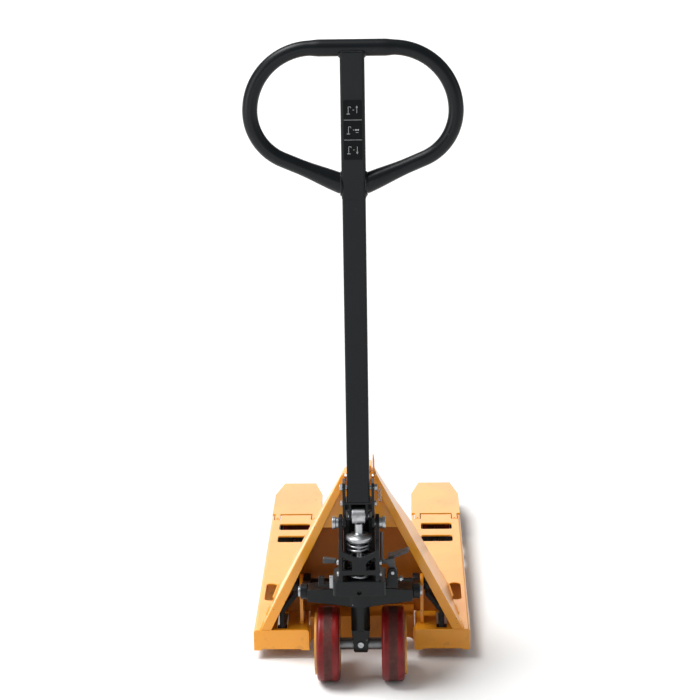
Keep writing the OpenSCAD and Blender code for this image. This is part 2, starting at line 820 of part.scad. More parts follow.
// Ring on the right-hand nut with a short chain hanging from it
module retaining_chain() {
  y = axis_y + shaft_a;
  ring_r = 5;
  link_r = 3.4;
  wire = 0.8;
  pitch = 5;
  x = 48.5;
  color(steel) {
    translate([x, y, bolt_z - 2.5]) rotate([0, 90, 0])
      rotate_extrude() translate([ring_r, 0]) circle(r = 1.1);
    for (i = [0 : 4]) translate([x, y, bolt_z - 8.7 - pitch * i]) rotate([90, 0, i % 2 == 0 ? 0 : 90])
      rotate_extrude() translate([link_r, 0]) circle(r = wire);
  }
}

// Plain pictogram sheet on the front of the head tube
module handle_label() {
  front = axis_y + shaft_a - shaft_d / 2 - 1;
  color([0.08, 0.08, 0.09]) along_y(front - 0.8, front - 0.02) round_rect(-20, 1246, 20, 1376, 2);
}

module cam_pin() {
  color(steel) bar_x(-24, 24, axis_y + piston_a, cam_z, 5);
}

// Roller in the drawbar bracket that presses the pump piston
module cam_roller() {
  color(steel) translate([0, axis_y + piston_a, cam_z]) rotate([0, 90, 0]) rotate_extrude() difference() {
    round_rect(0, -cam_half, cam_r, cam_half, 1.5);
    square([2 * (5 + run_fit), 3 * cam_half], center = true);
  }
}

// Pump piston with its flange and the dished spring cap
module pump_piston() {
  color(steel) translate([0, axis_y + piston_a, 0]) {
    translate([0, 0, 296]) cylinder(r = 9.5, h = piston_top - 296);
    rotate_extrude() polygon([[9, cap_z[1]], [15, cap_z[1]], [26, cap_z[1] - 3], [cap_r, cap_z[1] - 6],
      [cap_r, cap_z[0] + 7], [23, cap_z[0]], [9, cap_z[0]]]);
  }
}

// Return spring around the pump cylinder, as closed rings joined in a stack
module return_spring() {
  span = spring_z[1] - spring_z[0] - 2 * spring_wire;
  color(steel) translate([0, axis_y + piston_a, spring_z[0] + spring_wire])
    for (i = [0 : spring_turns]) translate([0, 0, span * i / spring_turns])
      rotate_extrude() translate([spring_r, 0]) circle(r = spring_wire);
}

// Finger lever under the grip bar, on the fork side of the head tube
module finger_lever() {
  hub = [axis_y + lever_a, lever_z];
  color(black) difference() {
    union() {
      along_x(-13.5, 13.5) union() {
        translate(hub) circle(r = 8);
        polygon([hub + [-2, 7], hub + [7, 2], hub + [30, 44], hub + [24, 50]]);
      }
      along_x(-20, 20) polygon([hub + [20, 40], hub + [26, 38], hub + [36, 58], hub + [31, 61]]);
      along_x(-4, 4) polygon([hub + [0, -7], hub + [0, 3], hub + [-28, -6], hub + [-28, -13]]);
    }
    bar_x(-30, 30, hub[0], hub[1], 3 + run_fit);
  }
}

// Rod inside the shaft, pushed down by the finger lever's tail
module control_rod() {
  foot_z = 470;
  color(steel) translate([0, axis_y + rod_a, foot_z]) cylinder(r = 3, h = lever_z - 14.5 - foot_z);
}

// Seesaw pedal: hinge boss, tread pad and a flat bar that runs behind the spring
module release_pedal() {
  boss_r = 9.5;
  bar_end = 84;
  color([0.45, 0.46, 0.48]) difference() {
    union() {
      along_y(axis_y + pedal_a[0], axis_y + pedal_a[1]) {
        polygon([[47.5, 304], [64, 304], [70, 292], [82, 292], [80, 318], [66, 314], [47.5, 311]]);
        translate([pedal_x, pedal_z]) circle(r = boss_r);
        polygon([[pedal_x - boss_r, pedal_z], [pedal_x + boss_r, pedal_z], [82, 296], [68, 296]]);
      }
      along_y(axis_y - 40, axis_y - 12)
        polygon([[66, 313], [80, 315], [112, 328], [114, 332.5], [108, 331.5], [78, 320], [66, 318]]);
      along_y(axis_y - 46, axis_y + bar_a[1])
        polygon([[-bar_end, 305], [-54, 305], [-54, 313], [-bar_end + 3, 317], [-bar_end, 316]]);
      along_y(axis_y + bar_a[0], axis_y + bar_a[1])
        polygon([[-bar_end, 304], [62, 304], [62, 311], [-bar_end, 309]]);
      translate([50, axis_y + pedal_a[1] - 1, 304]) cube([12, bar_a[0] - pedal_a[1] + 2, 7]);
    }
    bar_y(axis_y - 60, axis_y - 20, pedal_x, pedal_z, 4 + run_fit);
  }
}

// Upright rod that links the drawbar chain to the pedal's bar
module release_rod() {
  color(steel) translate([51, axis_y - 43, 312.6]) cylinder(r = 3.4, h = 68);
}

// ------------------------------------------------------------- the nodes

color(paint) mirror([1, 0, 0]) fork();  // left_fork
color(paint) fork();  // right_fork
color(paint) mirror([1, 0, 0]) fork_tip();  // left_fork_tip
color(paint) fork_tip();  // right_fork_tip
color(paint) mirror([1, 0, 0]) rail();  // left_rail
color(paint) rail();  // right_rail
head_gusset();
frame_head();
parking_hook();
back_plate();
cross_member();
rail_label();
rocker_bearings();
frame_pins();
crossbeam();
thrust_bearing();
rocker_shaft();
rocker_arms();
rocker_cranks();
arm_pins();
rod_pins();
mirror([1, 0, 0]) push_rod();  // left_push_rod
push_rod();  // right_push_rod
mirror([1, 0, 0]) roller_frame();  // left_roller_frame
roller_frame();  // right_roller_frame
mirror([1, 0, 0]) roller_axle();  // left_roller_axle
roller_axle();  // right_roller_axle
mirror([1, 0, 0]) load_roller();  // left_load_roller
load_roller();  // right_load_roller
pump_body();
pump_cage();
steer_strut();
wheel_axle();
strut_screw();
pump_bolts();
pivot_pins();
release_bracket();
side_stud();
ram();
mirror([1, 0, 0]) tyre();  // left_tyre
tyre();  // right_tyre
mirror([1, 0, 0]) rim();  // left_rim
rim();  // right_rim
mirror([1, 0, 0]) wheel_bearings();  // left_wheel_bearings
wheel_bearings();  // right_wheel_bearings
handle_shaft();
handle_loop();
handle_yoke();
handle_bolts();
retaining_chain();
handle_label();
cam_pin();
cam_roller();
pump_piston();
return_spring();
finger_lever();
control_rod();
release_pedal();
release_rod();
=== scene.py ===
"""Looks of the hand pallet truck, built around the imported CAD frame."""

import json
import math
import random

import bmesh
import bpy
from mathutils import Matrix, Vector, noise


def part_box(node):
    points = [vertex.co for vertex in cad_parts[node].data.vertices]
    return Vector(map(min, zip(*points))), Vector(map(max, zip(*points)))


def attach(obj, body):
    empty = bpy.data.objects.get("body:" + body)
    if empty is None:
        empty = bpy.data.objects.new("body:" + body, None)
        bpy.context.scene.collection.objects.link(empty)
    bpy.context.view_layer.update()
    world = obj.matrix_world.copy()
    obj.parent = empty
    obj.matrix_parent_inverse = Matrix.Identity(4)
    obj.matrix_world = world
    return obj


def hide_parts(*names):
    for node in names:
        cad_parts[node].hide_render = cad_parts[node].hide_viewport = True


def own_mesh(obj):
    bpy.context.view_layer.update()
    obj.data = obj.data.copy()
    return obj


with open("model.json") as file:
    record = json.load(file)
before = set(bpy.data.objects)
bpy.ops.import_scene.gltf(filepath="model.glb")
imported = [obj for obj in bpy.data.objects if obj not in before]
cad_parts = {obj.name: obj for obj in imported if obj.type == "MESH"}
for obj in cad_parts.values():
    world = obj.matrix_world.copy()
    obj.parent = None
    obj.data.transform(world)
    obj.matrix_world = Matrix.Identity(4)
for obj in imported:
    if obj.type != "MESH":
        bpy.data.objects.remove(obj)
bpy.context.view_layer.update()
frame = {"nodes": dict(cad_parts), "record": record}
rng = random.Random(7)
MM = 0.001


# ------------------------------------------------------------------ materials

class Nodes:
    """Builds the shader tree of one material, one line per node."""

    def __init__(self, name):
        self.mat = bpy.data.materials.new(name)
        self.mat.use_nodes = True
        self.tree = self.mat.node_tree
        self.shader = self.tree.nodes["Principled BSDF"]
        self.coords = self.tree.nodes.new("ShaderNodeTexCoord").outputs["Object"]
        self.normals = self.shader.inputs["Normal"]

    def add(self, kind, **inputs):
        node = self.tree.nodes.new(kind)
        for key, value in inputs.items():
            self.put(node.inputs[key.replace("_", " ")], value)
        return node

    def put(self, socket, value):
        if isinstance(value, bpy.types.NodeSocket):
            self.tree.links.new(value, socket)
        else:
            socket.default_value = value

    def set(self, **inputs):
        for key, value in inputs.items():
            self.put(self.shader.inputs[key.replace("_", " ")], value)

    def math(self, operation, a, b=0.0, clamp=False):
        node = self.tree.nodes.new("ShaderNodeMath")
        node.operation = operation
        node.use_clamp = clamp
        self.put(node.inputs[0], a)
        self.put(node.inputs[1], b)
        return node.outputs[0]

    def stretched(self, scale):
        node = self.add("ShaderNodeMapping", Vector=self.coords, Scale=scale)
        return node.outputs["Vector"]

    def noise(self, scale, detail=4.0, rough=0.55, vector=None, distortion=0.0):
        node = self.add("ShaderNodeTexNoise", Scale=scale, Detail=detail, Roughness=rough,
                        Distortion=distortion, Vector=vector or self.coords)
        return node.outputs["Fac"]

    def cells(self, scale, vector=None):
        node = self.add("ShaderNodeTexVoronoi", Scale=scale, Vector=vector or self.coords)
        return node.outputs["Distance"]

    def ramp(self, fac, low, high):
        """Turns a value into 0 below low, 1 above high and a smooth step between."""
        node = self.add("ShaderNodeMapRange", Value=fac)
        node.interpolation_type = "SMOOTHSTEP"
        node.inputs["From Min"].default_value = low
        node.inputs["From Max"].default_value = high
        return node.outputs["Result"]

    def span(self, fac, low, high):
        """Spreads a 0 to 1 value over a range."""
        node = self.add("ShaderNodeMapRange", Value=fac)
        node.inputs["To Min"].default_value = low
        node.inputs["To Max"].default_value = high
        return node.outputs["Result"]

    def mix(self, fac, a, b):
        node = self.tree.nodes.new("ShaderNodeMix")
        node.data_type = "RGBA"
        self.put(node.inputs[0], fac)
        self.put(node.inputs[6], a)
        self.put(node.inputs[7], b)
        return node.outputs[2]

    def blend(self, fac, a, b):
        node = self.tree.nodes.new("ShaderNodeMix")
        self.put(node.inputs[0], fac)
        self.put(node.inputs[2], a)
        self.put(node.inputs[3], b)
        return node.outputs[0]

    def edges(self, radius):
        """1 on outer edges and corners, 0 on flats."""
        bevel = self.add("ShaderNodeBevel", Radius=radius)
        bevel.samples = 6
        geometry = self.tree.nodes.new("ShaderNodeNewGeometry")
        dot = self.tree.nodes.new("ShaderNodeVectorMath")
        dot.operation = "DOT_PRODUCT"
        self.put(dot.inputs[0], bevel.outputs[0])
        self.put(dot.inputs[1], geometry.outputs["Normal"])
        return self.ramp(self.math("SUBTRACT", 1.0, dot.outputs["Value"]), 0.01, 0.16)

    def height(self):
        split = self.add("ShaderNodeSeparateXYZ", Vector=self.coords)
        return split.outputs["Z"]

    def bump(self, *layers):
        """Stacks bump layers, each (height, distance in metres)."""
        normal = None
        for value, distance in layers:
            node = self.add("ShaderNodeBump", Height=value, Distance=distance)
            node.inputs["Strength"].default_value = 1.0
            if normal:
                self.put(node.inputs["Normal"], normal)
            normal = node.outputs["Normal"]
        self.put(self.normals, normal)


def rgb(text):
    """A linear colour from an sRGB hex value."""
    parts = [int(text[i:i + 2], 16) / 255 for i in (0, 2, 4)]
    return (*[c / 12.92 if c <= 0.04045 else ((c + 0.055) / 1.055) ** 2.4 for c in parts], 1.0)


def enamel(name, base, deep, bare, dust, rough, chip_size, dirt_top, coat=0.0, shine=0.5):
    """Sprayed paint: orange peel, tone drift, chipped edges and dirt near the floor."""
    n = Nodes(name)
    tone = n.mix(n.ramp(n.noise(5.0, 3.0), 0.35, 0.7), base, deep)
    grime = n.ramp(n.noise(38.0, 6.0, 0.7, distortion=0.6), 0.52, 0.72)
    low = n.math("SUBTRACT", 1.0, n.ramp(n.height(), 0.0, dirt_top), clamp=True)
    film = n.math("MULTIPLY", grime, n.span(low, 0.12, 0.75), clamp=True)
    tone = n.mix(film, tone, dust)
    breakup = n.ramp(n.noise(210.0, 5.0, 0.75), 0.50, 0.62)
    chips = n.math("MULTIPLY", n.edges(chip_size), breakup, clamp=True)
    specks = n.ramp(n.noise(95.0, 2.0, 0.5), 0.735, 0.76)
    worn = n.math("MAXIMUM", chips, specks)
    tone = n.mix(worn, tone, bare)
    scuff = n.ramp(n.noise(7.0, 5.0, 0.8, n.stretched((1.0, 0.25, 1.6))), 0.55, 0.8)
    gloss = n.blend(scuff, rough, min(rough + 0.18, 1.0))
    gloss = n.blend(film, gloss, 0.72)
    n.set(Base_Color=tone, Roughness=n.blend(worn, gloss, 0.46), Specular_IOR_Level=shine,
          Coat_Weight=coat, Coat_Roughness=0.16)
    n.bump((n.noise(330.0, 2.0, 0.5), 0.00007), (n.math("MULTIPLY", worn, -1.0), 0.00012))
    return n.mat


def bright_metal(name, base, rough, grain, spots):
    """Turned, ground or plated steel with fine machining marks and dull spots."""
    n = Nodes(name)
    marks = n.noise(60.0, 4.0, 0.6, n.stretched(grain))
    haze = n.ramp(n.noise(45.0, 5.0, 0.7), 0.45, 0.75)
    rust = n.math("MULTIPLY", n.ramp(n.noise(140.0, 6.0, 0.75), 0.66, 0.74), spots)
    tone = n.mix(n.span(haze, 0.0, 0.55), base, rgb("7D7F80"))
    tone = n.mix(rust, tone, rgb("6B4326"))
    matt = n.math("ADD", n.span(haze, rough, rough + 0.16), n.math("MULTIPLY", marks, 0.08))
    n.set(Base_Color=tone, Metallic=n.math("SUBTRACT", 1.0, rust), Roughness=matt)
    n.bump((marks, 0.00004), (n.noise(900.0, 2.0), 0.00001))
    return n.mat


def polyurethane(name, band_centre, band_half):
    """Deep red cast tread with a dirty track round its middle."""
    n = Nodes(name)
    split = n.add("ShaderNodeSeparateXYZ", Vector=n.coords)
    across = n.math("ABSOLUTE", split.outputs["X"])
    off = n.math("ABSOLUTE", n.math("SUBTRACT", across, band_centre))
    track = n.math("SUBTRACT", 1.0, n.ramp(off, band_half * 0.75, band_half * 1.15), clamp=True)
    patches = n.ramp(n.noise(26.0, 6.0, 0.7, distortion=0.5), 0.25, 0.7)
    dirt = n.math("MULTIPLY", track, n.span(patches, 0.62, 0.95), clamp=True)
    tone = n.mix(n.ramp(n.noise(22.0, 4.0), 0.3, 0.75), rgb("7A1313"), rgb("620D0E"))
    grit = n.mix(n.ramp(n.noise(45.0, 4.0, 0.6), 0.35, 0.7), rgb("38211D"), rgb("483029"))
    tone = n.mix(dirt, tone, grit)
    flecks = n.math("MULTIPLY", n.ramp(n.noise(170.0, 2.0), 0.70, 0.74), track)
    tone = n.mix(flecks, tone, rgb("A98A55"))
    n.set(Base_Color=tone, Roughness=n.blend(dirt, 0.36, 0.78), Specular_IOR_Level=0.3,
          Subsurface_Weight=0.04, Subsurface_Scale=0.003)
    n.bump((n.noise(240.0, 5.0, 0.7), 0.00006), (dirt, 0.0002))
    return n.mat


def label_film(name, base, ink, worn, cell, amount, rough, shine=0.5):
    """Printed film with small blurred marks in rows and no lettering."""
    n = Nodes(name)
    rows = n.ramp(n.cells(cell, n.stretched((0.7, 0.35, 1.0))), 0.20, 0.26)
    marks = n.math("MULTIPLY", n.math("SUBTRACT", 1.0, rows, clamp=True),
                   n.ramp(n.noise(70.0, 2.0), 0.48, 0.55))
    tone = n.mix(n.math("MULTIPLY", marks, amount), base, ink)
    tone = n.mix(n.ramp(n.noise(26.0, 5.0), 0.5, 0.8), tone, worn)
    n.set(Base_Color=tone, Roughness=n.span(n.noise(90.0, 3.0), rough, rough + 0.15),
          Specular_IOR_Level=shine)
    n.bump((n.noise(160.0, 3.0), 0.00003))
    return n.mat


def floor_material():
    n = Nodes("studio_floor")
    tone = n.mix(n.noise(1.4, 3.0), rgb("F2F2F1"), rgb("EDEDEC"))
    n.set(Base_Color=tone, Roughness=n.span(n.noise(30.0, 4.0), 0.6, 0.72))
    n.bump((n.noise(180.0, 3.0), 0.00004))
    return n.mat


ORANGE = enamel("orange_enamel", rgb("F2A423"), rgb("EC981D"), rgb("6B4A2C"), rgb("94703F"),
                rough=0.30, chip_size=0.0014, dirt_top=0.09, coat=0.35)
# Painted shade: a darker orange that stands in for the shade inside the frame's hollow. Its
# rougher, less shiny finish is the paint's own.
SHADED_ORANGE = enamel("painted_shade_orange_enamel", rgb("B8701B"), rgb("A96416"), rgb("6B4A2C"),
                     rgb("704F2C"), rough=0.42, chip_size=0.0014, dirt_top=0.12, shine=0.35)
BLACK = enamel("black_enamel", rgb("0E1113"), rgb("141719"), rgb("6D7072"), rgb("3A342F"),
               rough=0.38, chip_size=0.0012, dirt_top=0.16, shine=0.24)
SHAFT_BLACK = enamel("shaft_enamel", rgb("0C1013"), rgb("101417"), rgb("24282B"), rgb("222527"),
                     rough=0.36, chip_size=0.0006, dirt_top=0.05, shine=0.22)
GREY = enamel("grey_coating", rgb("3A3E41"), rgb("464A4D"), rgb("8A8C8D"), rgb("4A3F36"),
              rough=0.40, chip_size=0.0010, dirt_top=0.05, shine=0.35)
YELLOW = enamel("amber_enamel", rgb("D99A2C"), rgb("C88A24"), rgb("6F5030"), rgb("7D5A34"),
                rough=0.42, chip_size=0.0010, dirt_top=0.16)
STEEL = bright_metal("plated_steel", rgb("A9ACAF"), 0.28, grain=(1.0, 1.0, 1.0), spots=0.35)
TURNED = bright_metal("turned_steel", rgb("B4B6B8"), 0.32, grain=(0.3, 0.3, 9.0), spots=0.10)
DARK_STEEL = bright_metal("oiled_steel", rgb("7F8183"), 0.34, grain=(1.0, 6.0, 1.0), spots=0.20)
RED = polyurethane("red_polyurethane", band_centre=0.0755, band_half=0.0105)
ROLLER_RED = polyurethane("roller_polyurethane", band_centre=0.193, band_half=0.026)
FILM = label_film("pale_film", rgb("EFD79C"), rgb("8C8878"), rgb("C9A667"),
                  cell=62.0, amount=0.75, rough=0.34)
GLOSS_FILM = label_film("black_film", rgb("06080A"), rgb("0B0D0F"), rgb("0A0C0E"),
                        cell=40.0, amount=0.3, rough=0.34, shine=0.12)
ICON = label_film("white_print", rgb("A9ADAE"), rgb("989C9D"), rgb("83888A"),
                  cell=300.0, amount=0.3, rough=0.40)


# --------------------------------------------------------------------- meshes

record = frame["record"]
BODY_OF = {node: body for body, nodes in record["behaviour"]["bodies"].items() for node in nodes}


def piece(name, bm, material, body, sharp=32.0):
    """Turns a bmesh into a shaded piece that rides on a body."""
    bmesh.ops.recalc_face_normals(bm, faces=bm.faces)
    mesh = bpy.data.meshes.new(name)
    bm.to_mesh(mesh)
    bm.free()
    mesh.polygons.foreach_set("use_smooth", [True] * len(mesh.polygons))
    mesh.set_sharp_from_angle(angle=math.radians(sharp))
    mesh.materials.append(material)
    obj = bpy.data.objects.new(name, mesh)
    bpy.context.scene.collection.objects.link(obj)
    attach(obj, body)
    return obj


def refined(node, material, bevel, sharp=30.0, segments=2):
    """A copy of a CAD node with its sharp edges rounded, shown in place of the node."""
    bm = bmesh.new()
    bm.from_mesh(frame["nodes"][node].data)
    bmesh.ops.remove_doubles(bm, verts=bm.verts, dist=1e-6)
    bmesh.ops.dissolve_limit(bm, angle_limit=math.radians(0.3), verts=bm.verts, edges=bm.edges)
    limit = math.radians(sharp)
    edges = [e for e in bm.edges if e.is_manifold and e.calc_face_angle() > limit]
    if bevel:
        bmesh.ops.bevel(bm, geom=edges, offset=bevel, segments=segments, profile=0.5,
                        affect="EDGES", clamp_overlap=False)
    obj = piece(node + "_finish", bm, material, BODY_OF[node])
    weighted = obj.modifiers.new("even_shading", "WEIGHTED_NORMAL")
    weighted.keep_sharp = True
    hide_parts(node)
    return obj


def recoat(node, material):
    """Gives a CAD node that stays in view its material."""
    mesh = frame["nodes"][node].data
    mesh.materials.clear()
    mesh.materials.append(material)


def sweep(bm, points, radius, sides=12):
    """A round bar along points; radius is a number or a function of the way along, 0 to 1."""
    points = [Vector(p) for p in points]
    last = len(points) - 1
    side = None
    rings = []
    for i, here in enumerate(points):
        ahead = (points[min(i + 1, last)] - points[max(i - 1, 0)]).normalized()
        if side is None:
            side = ahead.orthogonal().normalized()
        side = (side - ahead * side.dot(ahead)).normalized()
        up = ahead.cross(side)
        r = radius(i / last) if callable(radius) else radius
        turns = [2 * math.pi * k / sides for k in range(sides)]
        rings.append([bm.verts.new(here + (side * math.cos(a) + up * math.sin(a)) * r)
                      for a in turns])
    for a, b in zip(rings, rings[1:]):
        for k in range(sides):
            bm.faces.new((a[k], a[(k + 1) % sides], b[(k + 1) % sides], b[k]))
    bm.faces.new(rings[0])
    bm.faces.new(rings[-1])


def lathe(bm, outline, centre, axis, steps=64):
    """Turns a closed outline of (radius, along) points round an axis through centre."""
    axis = Vector(axis).normalized()
    side = axis.orthogonal().normalized()
    up = axis.cross(side)
    centre = Vector(centre)
    rings = []
    for i in range(steps):
        a = 2 * math.pi * i / steps
        out = side * math.cos(a) + up * math.sin(a)
        rings.append([bm.verts.new(centre + out * r + axis * z) for r, z in outline])
    count = len(outline)
    for i, ring in enumerate(rings):
        following = rings[(i + 1) % steps]
        for k in range(count):
            nxt = (k + 1) % count
            bm.faces.new((ring[k], following[k], following[nxt], ring[nxt]))


def slab(bm, one, other):
    """A flat box between two opposite corners."""
    corners = [bm.verts.new((x, y, z)) for x in (one[0], other[0]) for y in (one[1], other[1])
               for z in (one[2], other[2])]
    for face in ((0, 1, 3, 2), (4, 5, 7, 6), (0, 1, 5, 4),
                 (2, 3, 7, 6), (0, 2, 6, 4), (1, 3, 7, 5)):
        bm.faces.new([corners[i] for i in face])


def weld(bm, start, end, size=2.6):
    """A rippled bead from start to end, as laid by a hand-held torch; size in millimetres."""
    pitch = 2.4
    spill = 0.25
    start, end = Vector(start), Vector(end)
    length = (end - start).length / MM
    count = max(int(length / pitch * 4), 8)
    phase = rng.random() * 6
    points = []
    for i in range(count + 1):
        t = i / count
        drift = noise.noise_vector(Vector((t * length * 0.12, phase, 0.0))) * spill * MM
        points.append(start.lerp(end, t) + drift)

    def thick(t):
        ripple = 1.0 + 0.13 * abs(math.sin(math.pi * t * length / pitch))
        taper = min(1.0, 0.35 + t * length / 4, 0.35 + (1 - t) * length / 4)
        return size * MM * ripple * taper

    sweep(bm, points, thick, sides=10)


# ------------------------------------------------------- frame and fork pieces

TOE = math.radians(5.6)
LEAN = 0.055
HEEL_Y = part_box("right_fork")[0].y
SEAM_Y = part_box("right_fork")[1].y
DECK_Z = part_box("right_fork")[1].z
FORK_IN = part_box("right_fork")[0].x
FORK_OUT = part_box("right_fork")[1].x
RAIL_TOP = 0.484
HEAD_X = 0.041
FOOT_X = 0.243
RAIL_SLOPE = (FOOT_X - HEAD_X + LEAN * math.tan(TOE)) / (RAIL_TOP - DECK_Z)
SKIN = 0.0068


def rail_face(z, behind):
    """Outer face of the right rail, at a height and a distance behind the heel."""
    return FOOT_X - (z - DECK_Z) * RAIL_SLOPE - behind * math.tan(TOE)


for side in ("left", "right"):
    refined(side + "_fork", ORANGE, 1.6 * MM, segments=3)
    refined(side + "_fork_tip", ORANGE, 1.0 * MM)
    refined(side + "_rail", ORANGE, 1.3 * MM, segments=3)
for node in ("head_gusset", "rocker_bearings"):
    refined(node, ORANGE, 1.0 * MM)
# Painted shade: the back plate and cross member take the darker orange that stands in for the shade
# inside the frame.
for node in ("back_plate", "cross_member"):
    refined(node, SHADED_ORANGE, 1.0 * MM)
refined("frame_head", ORANGE, 2.0 * MM, segments=3)
refined("parking_hook", ORANGE, 0.6 * MM)
refined("rail_label", FILM, 0.0)
refined("frame_pins", STEEL, 0.8 * MM)


def frame_welds():
    """Beads along the feet of the rails, the cross plates, the bearings and the head."""
    bm = bmesh.new()
    proud = 0.0006
    deck = DECK_Z + proud
    outer_runs = ((0.004, 0.052), (0.098, 0.150), (0.205, 0.292))
    inner_runs = ((0.012, 0.060), (0.130, 0.185))
    plates = (("head_gusset", -0.028), ("back_plate", 0.116))
    head_half = 0.0295
    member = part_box("cross_member")
    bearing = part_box("rocker_bearings")

    def foot_bead(s, run, inset):
        ends = [(s * (rail_face(DECK_Z, at) + inset), HEEL_Y + at, deck) for at in run]
        weld(bm, ends[0], ends[1])

    for s in (-1, 1):
        for run in outer_runs:
            foot_bead(s, run, proud)
        for run in inner_runs:
            foot_bead(s, run, -SKIN - proud)
        for node, at in plates:
            low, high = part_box(node)[0].z + 0.010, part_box(node)[1].z - 0.006
            ends = [(s * (rail_face(z, at) - SKIN - 2 * proud), HEEL_Y + at - proud, z)
                    for z in (low, high)]
            weld(bm, ends[0], ends[1])
        x, y = s * (FORK_IN - 0.0004), member[0].y - 0.0008
        weld(bm, (x, y, 0.030), (x, y, DECK_Z - 0.010), size=2.2)
        x = s * (bearing[1].x + proud)
        weld(bm, (x, bearing[0].y + 0.004, deck), (x, bearing[1].y - 0.004, deck), size=2.2)
        x, z = s * head_half, RAIL_TOP + 0.0004
        weld(bm, (x, HEEL_Y - 0.046, z), (x, HEEL_Y - 0.012, z), size=2.3)
    piece("frame_welds", bm, ORANGE, "chassis", sharp=60)


frame_welds()

# ------------------------------------------------------------- lifting linkage

refined("crossbeam", BLACK, 1.6 * MM, segments=3)
refined("thrust_bearing", DARK_STEEL, 0.6 * MM)
refined("rocker_shaft", BLACK, 1.2 * MM)
refined("rocker_arms", BLACK, 1.6 * MM, segments=3)
refined("rocker_cranks", BLACK, 1.6 * MM)
refined("arm_pins", STEEL, 1.2 * MM, segments=3)
refined("rod_pins", STEEL, 0.8 * MM)
for side in ("left", "right"):
    refined(side + "_push_rod", BLACK, 0.8 * MM)
    refined(side + "_roller_frame", BLACK, 0.9 * MM)
    refined(side + "_roller_axle", STEEL, 0.8 * MM)
    refined(side + "_load_roller", ROLLER_RED, 0.0)

# ---------------------------------------------------------- pump and its parts

refined("pump_body", BLACK, 1.3 * MM, segments=3)
refined("pump_cage", BLACK, 0.9 * MM, segments=3)
refined("steer_strut", BLACK, 1.2 * MM, segments=3)
refined("release_bracket", BLACK, 0.8 * MM)
refined("wheel_axle", DARK_STEEL, 1.4 * MM)
refined("strut_screw", STEEL, 0.35 * MM)
refined("pump_bolts", STEEL, 0.6 * MM)
refined("pivot_pins", STEEL, 1.0 * MM, segments=3)
refined("side_stud", STEEL, 1.2 * MM, segments=3)
refined("ram", TURNED, 1.0 * MM)
refined("release_pedal", GREY, 0.7 * MM)
refined("release_rod", GREY, 0.7 * MM)
for side in ("left", "right"):
    refined(side + "_tyre", RED, 0.0)
    refined(side + "_rim", YELLOW, 0.5 * MM)
    refined(side + "_wheel_bearings", DARK_STEEL, 0.5 * MM)


def fork_braces():
    """Cross plates under each deck behind its window, and splice straps inside each tip seam."""
    bm = bmesh.new()
    wall = 5.2 * MM
    strap = 2.0 * MM
    window_in = 0.2135
    outer, inner = FORK_OUT - wall, FORK_IN + wall
    under = DECK_Z - wall
    for s in (-1, 1):
        for x0, x1 in ((inner, inner + 0.013), (window_in, outer)):
            slab(bm, (s * x0, HEEL_Y + 0.312, 0.019), (s * x1, HEEL_Y + 0.316, under))
        for x0, x1 in ((inner, inner + strap), (outer - strap, outer)):
            slab(bm, (s * x0, SEAM_Y - 0.020, 0.031), (s * x1, SEAM_Y + 0.032, under))
    piece("fork_braces", bm, ORANGE, "chassis")


def spring():
    """The real coil of the return spring, with its two closed and ground end turns."""
    low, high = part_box("return_spring")
    centre = (low + high) / 2
    wire = 2.6 * MM
    radius = (high.x - low.x) / 2 - wire
    turns = 6.5
    steps = int(turns * 40)
    height = high.z - low.z
    points = []
    for i in range(steps + 1):
        t = i / steps
        a = 2 * math.pi * t * turns - math.pi / 2
        rise = min(max((t * turns - 1.0) / (turns - 2.0), 0.0), 1.0)
        dead = min(t * turns, 1.0) * wire * 0.45 - min((1 - t) * turns, 1.0) * wire * 0.45
        z = low.z + wire * 1.1 + rise * (height - 2 * wire) * 0.97 + dead
        points.append((centre.x + radius * math.cos(a), centre.y + radius * math.sin(a), z))
    bm = bmesh.new()
    sweep(bm, points, wire * 0.98, sides=14)
    obj = piece("return_spring_coil", bm, STEEL, "pump", sharp=60)
    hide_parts("return_spring")
    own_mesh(obj)


def piston():
    """Ground piston with a stepped collar and a spring cap with turned ridges."""
    low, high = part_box("pump_piston")
    centre = ((low.x + high.x) / 2, (low.y + high.y) / 2, 0.0)
    cap_low, cap_high = 0.364, 0.385
    r = (high.x - low.x) / 2
    rod = 9.5 * MM
    outline = [(0.0001, low.z), (rod - 0.0008, low.z), (rod, low.z + 0.0008), (rod, cap_low)]
    outline += [(0.0222, cap_low), (0.0232, cap_low + 0.0010), (r - 0.0012, cap_low + 0.0060)]
    outline += [(r - 0.0004, cap_low + 0.0068), (r, cap_low + 0.0076), (r, cap_low + 0.0098)]
    outline += [(r - 0.0010, cap_low + 0.0102), (r - 0.0010, cap_low + 0.0110)]
    outline += [(r, cap_low + 0.0114)]
    outline += [(r, cap_high - 0.0070), (r - 0.0006, cap_high - 0.0060)]
    outline += [(r - 0.0042, cap_high - 0.0034), (0.0240, cap_high - 0.0030)]
    outline += [(0.0232, cap_high - 0.0034), (0.0220, cap_high - 0.0026)]
    outline += [(0.0150, cap_high - 0.0008), (0.0144, cap_high), (rod + 0.0016, cap_high)]
    outline += [(rod, cap_high + 0.0016), (rod, high.z - 0.0012)]
    outline += [(rod - 0.0012, high.z), (0.0001, high.z)]
    bm = bmesh.new()
    lathe(bm, outline, centre, (0, 0, 1), steps=72)
    obj = piece("pump_piston_turned", bm, TURNED, "piston", sharp=28)
    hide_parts("pump_piston")


fork_braces()
spring()
piston()


